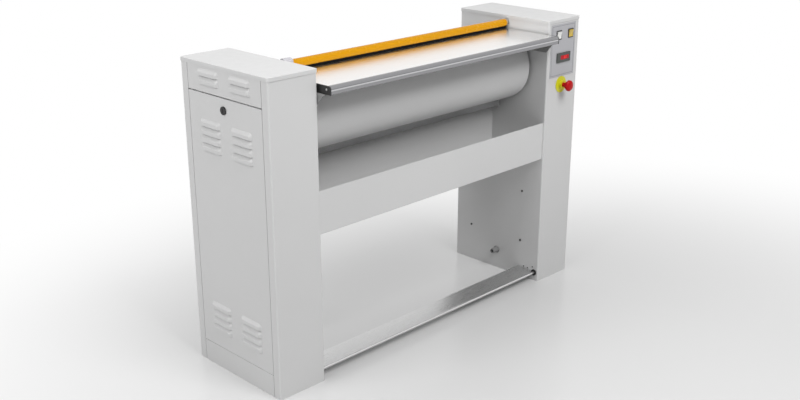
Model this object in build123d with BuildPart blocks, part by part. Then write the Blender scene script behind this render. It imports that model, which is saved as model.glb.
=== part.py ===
"""Single-roll flatwork ironer with a heated chest, standing on two cabinets.

Millimetres. X to the right, Y to the back, Z up. The origin is the middle of the
footprint box on the floor: the front edge of the feed table overhangs the cabinets.
"""
from build123d import *
from math import atan2, ceil, cos, degrees, hypot, pi, radians, sin, sqrt, tan
import os

os.makedirs("parts", exist_ok=True)

# ---------------------------------------------------------------- overall sizes
width = 1440.0
depth = 420.0
height = 1000.0
table_overhang = 48.0
front = (table_overhang - depth) / 2
back = front + depth

# Clearances
seat = 0.3
running = 0.05
panel_gap = 1.6

# Sheet metal
sheet = 1.5
bend = 2.5
fold = 15.0

# ---------------------------------------------------------------- cabinets
cap_width = 182.0
cap_lip = 12.0
cap_overhang = 2.0
cap_corner = 7.0
cap_edge = 2.0
corner = 5.0
outer_x = width / 2 - cap_overhang
inner_x = width / 2 - cap_width + cap_overhang
body_front = front + cap_overhang
body_back = back - cap_overhang
body_width = outer_x - inner_x
body_depth = body_back - body_front
body_x = (outer_x + inner_x) / 2
body_y = (body_front + body_back) / 2
body_height = height - sheet
wall_in = inner_x + sheet

# The opening in the outer side, closed by band, door and plinth
opening_front = front + 31.0
opening_back = back - 34.0
opening_y = (opening_front + opening_back) / 2
opening_length = opening_back - opening_front
plinth_height = 73.5
door_bottom = plinth_height + 1.5
band_bottom = height - 90.5
door_top = band_bottom - 4.0
band_top = body_height - seat
floor_plate = 2.0

# Pressed louvres
louvre_width = 102.0
louvre_rise = 21.0
louvre_depth = 7.0
louvre_corner = 12.0
louvre_slope = 10.0
louvre_sheet = 1.2
louvre_pitch = 25.2
louvre_columns = (front + 132.0, front + 282.5)
upper_lip = height - 193.5
lower_lip = 207.5
band_lip = height - 40.4
door_rows = 4
band_rows = 2

# Door seat and quarter-turn lock
peg_r = 2.0
peg_width = 30.0
peg_spacing = 220.0
peg_inset = 7.0
door_swing_x = outer_x - peg_inset
door_swing_z = plinth_height - sheet / 2
lock_y = front + 212.0
lock_z = height - 130.0
lock_head_r = 12.5
lock_head = 4.0
lock_barrel_r = 9.5
lock_cam_width = 16.0
lock_cam_length = 52.0
lock_cam = 3.0
lock_nut_r = 13.0
lock_nut = 5.0

# ---------------------------------------------------------------- roll and drive
roll_y = front + 201.0
roll_z = height - 176.5
roll_r = 128.5
roll_end_gap = 13.0
roll_half = inner_x - roll_end_gap
roll_tube_r = 109.5
roll_wall = 4.0
roll_disc = 8.0
roll_disc_inset = 20.0
shaft_r = 15.0
shaft_hole_r = 20.0
bearing_flange = 100.0
bearing_plate = 12.0
bearing_boss_r = 36.0
bearing_depth = 30.0
bearing_corner = 14.0

chain_pitch = 19.05
roll_teeth = 24
motor_teeth = 12
chain_links = 40
roller_r = 5.9
link_plate = 1.5
link_height = 7.4
link_pin_r = 2.6
link_pin_head = 0.8
seat_r = roller_r + 0.4
tooth_height = 3.6
tooth_flare = 3.2
sprocket_thickness = 6.4
link_inner = sprocket_thickness / 2 + seat
sprocket_x = -(wall_in + bearing_depth + 6.0)
sprocket_hub_r = 26.0
sprocket_hub = 14.0
pinion_hub_r = 20.0
pinion_hub = 10.0
shaft_end = 4.0

gearbox_gap = 6.0
gearbox_width = 80.0
gearbox_length = 100.0
gearbox_height = 110.0
gearbox_corner = 12.0
motor_r = 56.0
motor_length = 178.0
motor_neck_r = 44.0
motor_neck = 12.0
motor_shaft_r = 12.0
motor_shaft_depth = 30.0
fan_cover = 34.0
shelf = 5.0
shelf_margin = 15.0
shelf_flange = 70.0

# ---------------------------------------------------------------- heated chest
chest_gap = 0.5
chest_plate = 8.0
chest_open_deg = 5.0
chest_from = -3.0
chest_to = 112.0
chest_lip = 14.0
chest_cover_gap = 18.0
chest_end = 5.0
chest_end_gap = 7.0
pivot_y = back - 70.0
pivot_z = height - 95.0
pivot_r = 10.0
pivot_eye_r = 20.0
bush_wall = 5.0
bush_flange = 5.0
element_width = 16.0
element_thickness = 5.0
element_count = 7
element_margin = 11.0
lever_length = 45.0
lever_thickness = 8.0
lever_eye_r = 12.0
lever_gap = 9.0
lever_hub_r = 18.0
lever_x = wall_in + bush_flange + lever_gap
lever_pin_r = 5.0
rod_r = 8.0
rod_eye_r = 12.5
rod_eye = 12.0
rod_length = 120.0
rod_stroke = 4.0
pin_slack = 0.4
actuator_r = 20.0
actuator_length = 170.0

# ---------------------------------------------------------------- finger guard
guard_y = front + 200.0
guard_z = height - 28.0
guard_r = 14.0
guard_wall = 2.0
guard_end_length = 58.0
guard_lug = 32.0
guard_lug_rise = 7.0
guard_arm = 4.0
guard_arm_r = 17.5
guard_pivot_y = front + 224.0
guard_pivot_z = height - 26.0
guard_pivot_r = 4.0
guard_pivot_eye = 8.0
guard_arm_gap = 5.0

# ---------------------------------------------------------------- feed table
table_top = height - 46.5
table_sheet = 2.0
table_end_gap = 6.0
end_cap = 4.0
nose_depth = 62.0
nose_height = 26.0
nose_wall = 2.5
nose_rebate = 14.0
nose_round = 9.0
nose_groove = 1.6
nose_groove_drop = 9.0
table_back = front + 162.0
bracket_plate = 3.5
bracket_flange = 90.0
bracket_back = front + 130.0
bracket_low = table_top - 65.5
bracket_toe = front - 25.0
bracket_heel = front + 9.0
cap_screw_r = 3.2
cap_screw_head = 1.6
cap_screw_inset = 15.0
cap_screw_rise = 15.6

# ---------------------------------------------------------------- tray and rear cover
tray_front = front + 9.0
tray_back = front + 250.0
tray_bottom = roll_z - 334.0
tray_top = roll_z - 195.5
tray_back_top = roll_z - 168.5
tray_hem = 14.0
cover_back = body_back - 2.0
cover_top = height - 76.0
cover_bottom = roll_z - 278.5
cover_fold = 18.0

# ---------------------------------------------------------------- foot bar
foot_y = front + 20.0
foot_z = 32.6
foot_r = 5.0
foot_ring_r = 12.0
foot_ring = 3.0
foot_plate = 76.0
foot_plate_sheet = 2.0
foot_travel = 6.0
foot_slot_slack = 1.0
foot_arm = 6.0
foot_arm_x = wall_in + 12.0
foot_arm_reach = 120.0
foot_pivot_z = 45.0
foot_pivot_r = 5.0
foot_eye_r = 10.0
switch_box = (22.0, 34.0, 30.0)
switch_plunger_r = 3.0

# ---------------------------------------------------------------- controls
plate_thickness = 1.0
plate_left = width / 2 - 165.1
plate_right = width / 2 - 22.9
plate_bottom = height - 209.5
plate_top = height - 18.0
plate_x = (plate_left + plate_right) / 2
plate_z = (plate_bottom + plate_top) / 2
meter_x = width / 2 - 90.7
meter_z = height - 140.2
meter_width = 78.0
meter_height = 34.6
meter_bezel = 4.0
meter_body = (70.5, 28.5, 60.0)
meter_recess = 1.2
window_x = width / 2 - 84.3
window_width = 48.5
window_height = 15.0
yellow_x = width / 2 - 52.5
white_x = width / 2 - 121.0
switch_z = height - 57.0
switch_width = 30.0
switch_height = 33.0
switch_bezel = 2.0
switch_rim = 3.0
switch_body = (26.0, 28.0, 26.0)
key_rise = 4.5
key_tilt = 8.0
key_gap = 0.5
key_depth = 3.0
key_pin_r = 1.5
key_pin = 1.5
stop_x = width / 2 - 95.5
stop_z = height - 240.0
stop_disc_r = 30.0
stop_disc = 2.0
stop_collar_r = 14.5
stop_collar = 10.0
stop_stem_r = 8.0
stop_travel = 4.0
stop_head_r = 20.0
stop_head = 21.0
stop_neck_r = 13.0
stop_crown = 6.0
stop_rim = 5.0
stop_neck = 4.0
stop_reach = 45.0
stop_barrel_r = 11.0
stop_barrel = 32.0
stop_block = (30.0, 40.0, 34.0)

# ---------------------------------------------------------------- electrics and fixings
gland_y = front + 206.0
gland_z = 76.0
gland_r = 14.0
gland_flange = 6.0
gland_dome_r = 12.0
gland_dome = 24.0
gland_tip_r = 9.0
gland_sides = 16
gland_bore_r = 6.5
gland_hole_r = 10.0
gland_lock = 5.0
panel_fix_y = (front + 92.0, front + 340.0)
panel_fix_z = (146.0, 346.0)
panel_margin = 20.0
panel_plate = 2.0
fix_head_r = 4.5
fix_head = 2.5
small_fixings = ((27.2, 53.4), (50.5, 43.0), (69.7, 44.4))
contactor = (45.0, 75.0, 80.0)
contactor_pitch = 60.0
contactor_count = 3


def facing(y):
    """Sketch plane across the machine at depth y; it extrudes towards the front."""
    return Plane.XZ.offset(-y)


def across(x):
    """Sketch plane from front to back at x: local x is Y, local y is Z."""
    return Plane.YZ.offset(x)


def finish(builder, name):
    """Label a finished sub-part and write its file."""
    builder.part.label = name
    export_step(builder.part, f"parts/{name}.step")


# ================================================================ cabinets
with BuildPart() as shell:
    with BuildSketch():
        with Locations((-body_x, body_y)):
            RectangleRounded(body_width, body_depth, corner)
            RectangleRounded(body_width - 2 * sheet, body_depth - 2 * sheet, corner - sheet,
                             mode=Mode.SUBTRACT)
        with Locations((-outer_x, opening_y)):
            Rectangle(4 * sheet, opening_length, mode=Mode.SUBTRACT)
        for edge_y in (opening_front - sheet / 2, opening_back + sheet / 2):
            with Locations((-outer_x + fold / 2, edge_y)):
                Rectangle(fold, sheet)
    extrude(amount=body_height)
    # Roll shaft, chest pivot, guard pin and foot bar pass through the inner wall
    with BuildSketch(across(-wall_in)):
        with Locations((roll_y, roll_z)):
            Circle(shaft_hole_r)
        with Locations((pivot_y, pivot_z)):
            Circle(pivot_r + bush_wall)
        with Locations((guard_pivot_y, guard_pivot_z)):
            Circle(guard_pivot_r)
        with Locations((foot_y, foot_z - foot_travel / 2)):
            SlotOverall(2 * (foot_r + foot_slot_slack) + foot_travel, 2 * (foot_r + foot_slot_slack),
                        rotation=90)
    extrude(amount=sheet, mode=Mode.SUBTRACT)

with BuildPart() as left_casing:
    add(shell.part)
finish(left_casing, "left_casing")

with BuildPart() as right_casing:
    mirror(shell.part, about=Plane.YZ)
    with BuildSketch(facing(body_front + sheet)):
        with Locations((meter_x, meter_z)):
            Rectangle(meter_body[0] + seat, meter_body[1] + seat)
        with Locations((yellow_x, switch_z), (white_x, switch_z)):
            Rectangle(switch_body[0] + seat, switch_body[1] + seat)
        with Locations((stop_x, stop_z)):
            Circle(stop_barrel_r)
    extrude(amount=sheet, mode=Mode.SUBTRACT)
    with BuildSketch(across(inner_x)):
        with Locations((gland_y, gland_z)):
            Circle(gland_hole_r)
    extrude(amount=sheet, mode=Mode.SUBTRACT)
finish(right_casing, "right_casing")

with BuildPart() as left_cap:
    with BuildSketch(Plane.XY.offset(height - cap_lip)):
        with Locations((-width / 2 + cap_width / 2, body_y)):
            RectangleRounded(cap_width, depth, cap_corner)
    extrude(amount=cap_lip)
    chamfer(left_cap.faces().sort_by(Axis.Z)[-1].edges(), length=cap_edge / 2)
    with BuildSketch(Plane.XY.offset(height - cap_lip)):
        with Locations((-width / 2 + cap_width / 2, body_y)):
            RectangleRounded(cap_width - 2 * sheet, depth - 2 * sheet, cap_corner - sheet)
    extrude(amount=cap_lip - sheet, mode=Mode.SUBTRACT)
finish(left_cap, "left_cap")

with BuildPart() as right_cap:
    mirror(left_cap.part, about=Plane.YZ)
finish(right_cap, "right_cap")


def louvre_outline(inset):
    """Outline of a louvre with its mirror image below the lip, its corners in three flats."""
    half_y, half_z, r = louvre_width / 2 - inset, louvre_rise - inset, louvre_corner - inset
    arc = [(half_y - r + r * cos(radians(a)), half_z - r + r * sin(radians(a))) for a in (0, 30, 60, 90)]
    left = [(-y, z) for y, z in reversed(arc)]
    with BuildSketch() as face:
        Polygon(*arc, *left, *[(y, -z) for y, z in reversed(arc + left)], align=None)
    return face.sketch


def hood(inset):
    """One pressed louvre facing -X, its lip on the XY plane; inset gives its inside."""
    with BuildPart() as shape:
        for x, narrowing in ((0, 0), (inset - louvre_depth, louvre_slope)):
            with BuildSketch(across(x)):
                add(louvre_outline(inset + narrowing))
        loft(ruled=True)
        split(bisect_by=Plane.XY, keep=Keep.TOP)
    return shape.part


def louvre_slot():
    """The opening behind one louvre, through the sheet."""
    with BuildPart() as shape:
        add(hood(louvre_sheet))
        with BuildSketch(across(0)):
            add(louvre_outline(louvre_sheet))
        extrude(amount=sheet)
        split(bisect_by=Plane.XY, keep=Keep.TOP)
    return shape.part


louvre_outside = hood(0)
louvre_inside = louvre_slot()


def lip_places(top_lip, rows):
    """Places of a block of louvres, two columns by a number of rows."""
    return [(-outer_x, y, top_lip - row * louvre_pitch) for row in range(rows) for y in louvre_columns]


def panel(low, high, places):
    """A folded panel in the opening of the left cabinet, with louvres at the places."""
    length = opening_length - 2 * panel_gap
    with BuildPart() as shape:
        with BuildSketch(across(-outer_x)):
            with Locations((opening_y, (low + high) / 2)):
                Rectangle(length, high - low)
        extrude(amount=fold)
        with BuildSketch(across(-outer_x + sheet)):
            with Locations((opening_y, (low + high) / 2)):
                Rectangle(length - 2 * sheet, high - low - 2 * sheet)
        extrude(amount=fold - sheet, mode=Mode.SUBTRACT)
        with Locations(*places):
            add(louvre_outside)
        with Locations(*places):
            add(louvre_inside, mode=Mode.SUBTRACT)
    return shape.part


with BuildPart() as left_band:
    add(panel(band_bottom, band_top, lip_places(band_lip, band_rows)))
finish(left_band, "left_band")

with BuildPart() as right_band:
    mirror(left_band.part, about=Plane.YZ)
finish(right_band, "right_band")

with BuildPart() as left_door:
    add(panel(door_bottom, door_top, lip_places(upper_lip, door_rows) + lip_places(lower_lip, door_rows)))
    # Two round-edged pegs stand in slots of the plinth, and the door tilts about their ends
    for peg_y in (opening_y - peg_spacing / 2, opening_y + peg_spacing / 2):
        with BuildSketch(facing(peg_y + peg_width / 2)):
            with Locations((-door_swing_x, door_swing_z)):
                Circle(peg_r)
            with Locations((-door_swing_x, (door_swing_z + door_bottom) / 2)):
                Rectangle(2 * peg_r, door_bottom - door_swing_z)
        extrude(amount=peg_width)
    with BuildSketch(across(-outer_x)):
        with Locations((lock_y, lock_z)):
            Circle(lock_barrel_r + running)
    extrude(amount=sheet, mode=Mode.SUBTRACT)
finish(left_door, "left_door")

with BuildPart() as right_door:
    mirror(left_door.part, about=Plane.YZ)
finish(right_door, "right_door")

with BuildPart() as left_base:
    base_length = opening_length - 2 * panel_gap
    with BuildSketch(facing(opening_y + base_length / 2)):
        with Locations((-(outer_x + wall_in + seat) / 2, floor_plate / 2)):
            Rectangle(outer_x - wall_in - seat, floor_plate)
        with Locations((-outer_x + sheet / 2, plinth_height / 2)):
            Rectangle(sheet, plinth_height)
        with Locations((-outer_x + fold / 2, plinth_height - sheet / 2)):
            Rectangle(fold, sheet)
    extrude(amount=base_length)
    with BuildSketch(Plane.XY.offset(plinth_height - sheet)):
        with Locations(*[(-door_swing_x, opening_y + s * peg_spacing / 2) for s in (-1, 1)]):
            Rectangle(2 * (peg_r + seat), peg_width + 2 * seat)
    extrude(amount=sheet, mode=Mode.SUBTRACT)
finish(left_base, "left_base")

with BuildPart() as right_base:
    mirror(left_base.part, about=Plane.YZ)
finish(right_base, "right_base")

with BuildPart() as left_lock:
    # Head outside, barrel through the door, nut and cam inside; the cam lies along Y
    cam_x = fold + seat
    with BuildSketch(across(-outer_x - lock_head)):
        with Locations((lock_y, lock_z)):
            Circle(lock_head_r)
    extrude(amount=lock_head - running)
    with BuildSketch(across(-outer_x - running)):
        with Locations((lock_y, lock_z)):
            Circle(lock_barrel_r)
    extrude(amount=cam_x + running)
    with BuildSketch(across(-outer_x + sheet + running)):
        with Locations((lock_y, lock_z)):
            RegularPolygon(lock_nut_r, 6)
    extrude(amount=lock_nut)
    with BuildSketch(across(-outer_x + cam_x)):
        with Locations((lock_y + lock_cam_length / 2 - lock_cam_width / 2, lock_z)):
            Rectangle(lock_cam_length, lock_cam_width)
    extrude(amount=lock_cam)
    with BuildSketch(across(-outer_x - lock_head)):
        with Locations((lock_y, lock_z)):
            Rectangle(lock_head / 2, lock_head_r)
    extrude(amount=lock_head / 2, mode=Mode.SUBTRACT)
finish(left_lock, "left_lock")

with BuildPart() as right_lock:
    mirror(left_lock.part, about=Plane.YZ)
finish(right_lock, "right_lock")

# ================================================================ roll
with BuildPart() as roll_tube:
    with BuildSketch(across(-roll_half)):
        with Locations((roll_y, roll_z)):
            Circle(roll_tube_r)
            Circle(roll_tube_r - roll_wall, mode=Mode.SUBTRACT)
    extrude(amount=2 * roll_half)
finish(roll_tube, "roll_tube")

with BuildPart() as roll_padding:
    with BuildSketch(across(-roll_half)):
        with Locations((roll_y, roll_z)):
            Circle(roll_r)
            Circle(roll_tube_r, mode=Mode.SUBTRACT)
    extrude(amount=2 * roll_half)
finish(roll_padding, "roll_padding")

disc_x = roll_half - roll_disc_inset
left_shaft_end = sprocket_x - sprocket_thickness / 2 - sprocket_hub - shaft_end
right_shaft_end = wall_in + bearing_depth + shaft_end
with BuildPart() as roll_ends:
    for start, disc, end in ((-disc_x, -disc_x, left_shaft_end),
                             (disc_x, disc_x - roll_disc, right_shaft_end)):
        with BuildSketch(across(disc)):
            with Locations((roll_y, roll_z)):
                Circle(roll_tube_r - roll_wall)
        extrude(amount=roll_disc)
        with BuildSketch(across(start)):
            with Locations((roll_y, roll_z)):
                Circle(shaft_r)
        extrude(amount=end - start)
finish(roll_ends, "roll_ends")

with BuildPart() as roll_bearings:
    with BuildSketch(across(wall_in)):
        with Locations((roll_y, roll_z)):
            RectangleRounded(bearing_flange, bearing_flange, bearing_corner)
            Circle(shaft_r + running, mode=Mode.SUBTRACT)
    extrude(amount=bearing_plate)
    with BuildSketch(across(wall_in + bearing_plate)):
        with Locations((roll_y, roll_z)):
            Circle(bearing_boss_r)
            Circle(shaft_r + running, mode=Mode.SUBTRACT)
    extrude(amount=bearing_depth - bearing_plate)
    mirror(about=Plane.YZ)
finish(roll_bearings, "roll_bearings")

# ================================================================ chain drive
roll_pitch_r = chain_pitch / (2 * sin(pi / roll_teeth))
motor_pitch_r = chain_pitch / (2 * sin(pi / motor_teeth))
# Half the rollers wrap each sprocket, and the rest lie along two equal straight runs
roll_wrap = 2 * ceil(roll_teeth / 4 + 0.5)
motor_wrap = 2 * int(motor_teeth / 4)
straight_links = (chain_links - (roll_wrap - 1) - (motor_wrap - 1)) // 2
roll_last = radians(90 - (roll_wrap - 1) * 180 / roll_teeth)
motor_first = radians(-90 + (motor_wrap - 1) * 180 / motor_teeth)
run_dy = roll_pitch_r * cos(roll_last) - motor_pitch_r * cos(motor_first)
run_dz = sqrt((straight_links * chain_pitch) ** 2 - run_dy ** 2)
chain_centres = run_dz - roll_pitch_r * sin(roll_last) + motor_pitch_r * sin(motor_first)
motor_z = roll_z - chain_centres


def sprocket(teeth, pitch_r, y, z):
    """Toothed outline of a chain wheel, a gap half a tooth away from straight up.

    The seat of each roller is half an octagon that the seat's circle would touch.
    """
    flat, mouth = seat_r * tan(pi / 8), seat_r + tooth_flare
    with Locations((y, z)):
        Circle(pitch_r + tooth_height)
        with PolarLocations(pitch_r, teeth, start_angle=90 + 180 / teeth):
            Polygon((-seat_r, -flat), (-seat_r, flat), (-flat, seat_r), (2 * tooth_height, mouth),
                    (2 * tooth_height, -mouth), (-flat, -seat_r), align=None, mode=Mode.SUBTRACT)


with BuildPart() as roll_sprocket:
    with BuildSketch(across(sprocket_x - sprocket_thickness / 2)):
        sprocket(roll_teeth, roll_pitch_r, roll_y, roll_z)
    extrude(amount=sprocket_thickness)
    with BuildSketch(across(sprocket_x - sprocket_thickness / 2)):
        with Locations((roll_y, roll_z)):
            Circle(sprocket_hub_r)
    extrude(amount=-sprocket_hub)
    with BuildSketch(across(sprocket_x)):
        with Locations((roll_y, roll_z)):
            Circle(shaft_r)
    extrude(amount=bearing_depth, both=True, mode=Mode.SUBTRACT)
finish(roll_sprocket, "roll_sprocket")

gearbox_face = sprocket_x - sprocket_thickness / 2 - gearbox_gap
gearbox_x = gearbox_face - gearbox_width / 2
with BuildPart() as motor_sprocket:
    with BuildSketch(across(sprocket_x - sprocket_thickness / 2)):
        sprocket(motor_teeth, motor_pitch_r, roll_y, motor_z)
    extrude(amount=sprocket_thickness)
    with BuildSketch(across(sprocket_x)):
        with Locations((roll_y, motor_z)):
            Circle(pinion_hub_r)
    extrude(amount=sprocket_thickness / 2 + pinion_hub)
    with BuildSketch(across(gearbox_face - motor_shaft_depth)):
        with Locations((roll_y, motor_z)):
            Circle(motor_shaft_r)
    extrude(amount=motor_shaft_depth + gearbox_gap)
finish(motor_sprocket, "motor_sprocket")


def on_circle(pitch_r, z, angle):
    return roll_y + pitch_r * cos(angle), z + pitch_r * sin(angle)


def roller_places():
    """Centres of the rollers in order round the loop, from the top of the roll sprocket."""
    def step(teeth, count, start):
        return [start - radians(360 / teeth) * n for n in range(count)]

    top = step(roll_teeth, roll_wrap, pi - roll_last)
    low = step(motor_teeth, motor_wrap, motor_first)
    upper = [on_circle(roll_pitch_r, roll_z, a) for a in top]
    lower = [on_circle(motor_pitch_r, motor_z, a) for a in low]
    places = list(upper)
    for start, end, then in ((upper[-1], lower[0], lower), (lower[-1], upper[0], [])):
        for n in range(1, straight_links):
            t = n / straight_links
            places.append((start[0] + t * (end[0] - start[0]), start[1] + t * (end[1] - start[1])))
        places.extend(then)
    return places


def clear_of_teeth(place):
    """Whether a roller at the place stays clear of both toothed rims."""
    return all(hypot(place[0] - roll_y, place[1] - z) > pitch_r + tooth_height + roller_r + seat
               for pitch_r, z in ((roll_pitch_r, roll_z), (motor_pitch_r, motor_z)))


rollers = roller_places()
with BuildPart() as drive_chain:
    # The wheels turn between the side plates; rollers lie where the chain runs straight
    with BuildSketch(across(sprocket_x - link_inner + running)):
        with Locations(*[place for place in rollers if clear_of_teeth(place)]):
            RegularPolygon(roller_r, 8)
    extrude(amount=2 * (link_inner - running))
    end, side = link_height * cos(pi / 8), link_height * sin(pi / 8)
    corners = [(x * (chain_pitch / 2 + u), y * v)
               for x, y, turn in ((1, 1, 1), (-1, 1, -1), (-1, -1, 1), (1, -1, -1))
               for u, v in ((end, side), (side, end))[::turn]]
    links = list(zip(rollers, rollers[1:] + rollers[:1]))
    for outer in (0, 1):
        link_face = link_inner + outer * (link_plate + running)
        for way in (-1, 1):
            with BuildSketch(across(sprocket_x + way * link_face)):
                for a, b in links[outer::2]:
                    with Locations(((a[0] + b[0]) / 2, (a[1] + b[1]) / 2)):
                        Polygon(*corners, rotation=degrees(atan2(b[1] - a[1], b[0] - a[0])), align=None)
            extrude(amount=way * link_plate)
    for way in (-1, 1):
        with BuildSketch(across(sprocket_x + way * (link_face + link_plate))):
            with Locations(*rollers):
                RegularPolygon(link_pin_r, 6)
        extrude(amount=way * link_pin_head)
finish(drive_chain, "drive_chain")

with BuildPart() as gearmotor:
    with BuildSketch(Plane.XY.offset(motor_z - gearbox_height / 2)):
        with Locations((gearbox_x, roll_y)):
            RectangleRounded(gearbox_width, gearbox_length, gearbox_corner)
    extrude(amount=gearbox_height)
    with BuildSketch(across(gearbox_face - motor_shaft_depth)):
        with Locations((roll_y, motor_z)):
            Circle(motor_shaft_r + running)
    extrude(amount=motor_shaft_depth, mode=Mode.SUBTRACT)
    with BuildSketch(Plane.XY.offset(motor_z - gearbox_height / 2)):
        with Locations((gearbox_x, roll_y)):
            Circle(motor_neck_r)
    extrude(amount=-motor_neck)
    with BuildSketch(Plane.XY.offset(motor_z - gearbox_height / 2 - motor_neck)):
        with Locations((gearbox_x, roll_y)):
            Circle(motor_r)
    extrude(amount=-motor_length)
    chamfer(gearmotor.faces().sort_by(Axis.Z)[0].edges(), length=fan_cover / 4)
finish(gearmotor, "gearmotor")

shelf_top = motor_z - gearbox_height / 2
shelf_back = gearbox_x - gearbox_width / 2 - shelf_margin
with BuildPart() as motor_bracket:
    # A shelf under the gearbox, on a flange against the wall, with a gusset each side
    shelf_length = 2 * motor_neck_r + 4 * shelf_margin
    with BuildSketch(Plane.XY.offset(shelf_top - shelf)):
        with Locations(((shelf_back - wall_in) / 2, roll_y)):
            Rectangle(-wall_in - shelf_back, shelf_length)
        with Locations((gearbox_x, roll_y)):
            Circle(motor_neck_r + seat, mode=Mode.SUBTRACT)
    extrude(amount=shelf)
    with BuildSketch(facing(roll_y + shelf_length / 2)):
        with Locations((-wall_in - shelf / 2, shelf_top - shelf - shelf_flange / 2)):
            Rectangle(shelf, shelf_flange)
    extrude(amount=shelf_length)
    for side_y in (roll_y + shelf_length / 2, roll_y - shelf_length / 2 + shelf):
        with BuildSketch(facing(side_y)):
            Polygon((-wall_in - shelf, shelf_top - shelf), (shelf_back, shelf_top - shelf),
                    (-wall_in - shelf, shelf_top - shelf - shelf_flange), align=None)
        extrude(amount=shelf)
finish(motor_bracket, "motor_bracket")

# ================================================================ heated chest
chest_half = inner_x - chest_end_gap - chest_end
chest_r = roll_r + chest_gap
cover_r = chest_r + chest_plate + chest_cover_gap
curve_y = roll_y - pivot_y
curve_z = roll_z - pivot_z


def chest_plane(x):
    """Plane at x that turns with the open chest; its origin is the pivot, drawn closed."""
    a = radians(chest_open_deg)
    return Plane(origin=(x, pivot_y, pivot_z), x_dir=(0, cos(a), sin(a)), z_dir=(1, 0, 0))


def on_chest(r, angle):
    """Point at radius r, angle degrees round from the bottom towards the back."""
    return curve_y + r * sin(radians(angle)), curve_z - r * cos(radians(angle))


def sector(r_in, r_out, start, end):
    """Face of a curved plate round the roll between two angles."""
    with BuildSketch() as face:
        with BuildLine():
            inside = CenterArc((curve_y, curve_z), r_in, start - 90, end - start)
            outside = CenterArc((curve_y, curve_z), r_out, start - 90, end - start)
            Line(inside @ 0, outside @ 0)
            Line(inside @ 1, outside @ 1)
        make_face()
    return face.sketch


with BuildPart() as chest_plate_body:
    with BuildSketch(chest_plane(-chest_half)):
        add(sector(chest_r, chest_r + chest_plate, chest_from, chest_to))
        lip_angle = degrees(2 * sheet / chest_r)
        add(sector(chest_r + chest_plate / 2, chest_r + chest_plate + chest_lip,
                   chest_from, chest_from + lip_angle))
    extrude(amount=2 * chest_half)
finish(chest_plate_body, "chest_plate")

with BuildPart() as chest_cover:
    with BuildSketch(chest_plane(-chest_half)):
        add(sector(cover_r - sheet, cover_r, chest_from + lip_angle, chest_to))
    extrude(amount=2 * chest_half)
finish(chest_cover, "chest_cover")

with BuildPart() as chest_ends:
    with BuildSketch(chest_plane(chest_half)):
        add(sector(chest_r, cover_r, chest_from, chest_to))
        Circle(pivot_eye_r)
        tip_in, tip_out = on_chest(chest_r, chest_to), on_chest(cover_r, chest_to)
        Polygon(tip_in, tip_out, (pivot_eye_r * cos(pi / 6), -pivot_eye_r / 2),
                (-pivot_eye_r / 2, pivot_eye_r * cos(pi / 6)), align=None)
        Circle(pivot_r, mode=Mode.SUBTRACT)
    extrude(amount=chest_end)
    mirror(about=Plane.YZ)
finish(chest_ends, "chest_ends")

with BuildPart() as heating_elements:
    first, last = chest_from + element_margin, chest_to - element_margin
    with BuildSketch(chest_plane(-chest_half + seat)):
        for n in range(element_count):
            angle = first + n * (last - first) / (element_count - 1)
            with Locations(on_chest(chest_r + chest_plate + seat + element_thickness / 2, angle)):
                Rectangle(element_width, element_thickness, rotation=angle)
    extrude(amount=2 * (chest_half - seat))
finish(heating_elements, "heating_elements")

lever_end = lever_x + lever_thickness
with BuildPart() as chest_shafts:
    for start, end in ((-chest_half, -wall_in - bush_flange - shaft_end),
                       (chest_half, lever_end + shaft_end)):
        with BuildSketch(across(start)):
            with Locations((pivot_y, pivot_z)):
                Circle(pivot_r)
        extrude(amount=end - start)
finish(chest_shafts, "chest_shafts")

with BuildPart() as chest_bushes:
    with BuildSketch(across(inner_x)):
        with Locations((pivot_y, pivot_z)):
            Circle(pivot_r + bush_wall)
            Circle(pivot_r + running, mode=Mode.SUBTRACT)
    extrude(amount=sheet)
    with BuildSketch(across(wall_in)):
        with Locations((pivot_y, pivot_z)):
            Circle(pivot_r + 2 * bush_wall)
            Circle(pivot_r + running, mode=Mode.SUBTRACT)
    extrude(amount=bush_flange)
    mirror(about=Plane.YZ)
finish(chest_bushes, "chest_bushes")

rod_y = pivot_y + lever_length
rod_x = lever_end + seat + rod_r
with BuildPart() as chest_lever:
    with BuildSketch(across(lever_x)):
        with Locations((pivot_y, pivot_z)):
            Circle(lever_hub_r)
        with Locations((rod_y, pivot_z)):
            Circle(lever_eye_r)
        make_hull()
        with Locations((pivot_y, pivot_z)):
            Circle(pivot_r, mode=Mode.SUBTRACT)
    extrude(amount=lever_thickness)
    with BuildSketch(across(lever_end)):
        with Locations((rod_y, pivot_z)):
            Circle(lever_pin_r)
    extrude(amount=2 * rod_r + 2 * seat + shaft_end)
finish(chest_lever, "chest_lever")

rod_low = pivot_z - rod_length
with BuildPart() as actuator_rod:
    with BuildSketch(across(rod_x)):
        with Locations((rod_y, pivot_z)):
            Circle(rod_eye_r)
    extrude(amount=rod_eye / 2, both=True)
    with BuildSketch(Plane.XY.offset(rod_low)):
        with Locations((rod_x, rod_y)):
            Circle(rod_r)
    extrude(amount=rod_length)
    with BuildSketch(across(rod_x)):
        with Locations((rod_y, pivot_z)):
            Circle(lever_pin_r + pin_slack)
    extrude(amount=rod_r, both=True, mode=Mode.SUBTRACT)
finish(actuator_rod, "actuator_rod")

actuator_top = pivot_z - rod_eye_r - rod_stroke - shaft_end
with BuildPart() as actuator:
    with BuildSketch(Plane.XY.offset(actuator_top - actuator_length)):
        with Locations((rod_x, rod_y)):
            Circle(actuator_r)
        with Locations(((wall_in + rod_x) / 2, rod_y)):
            Rectangle(rod_x - wall_in, actuator_r)
    extrude(amount=actuator_length)
    with BuildSketch(Plane.XY.offset(rod_low - rod_stroke - seat)):
        with Locations((rod_x, rod_y)):
            Circle(rod_r + running)
    extrude(amount=actuator_length, mode=Mode.SUBTRACT)
finish(actuator, "chest_actuator")

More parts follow.
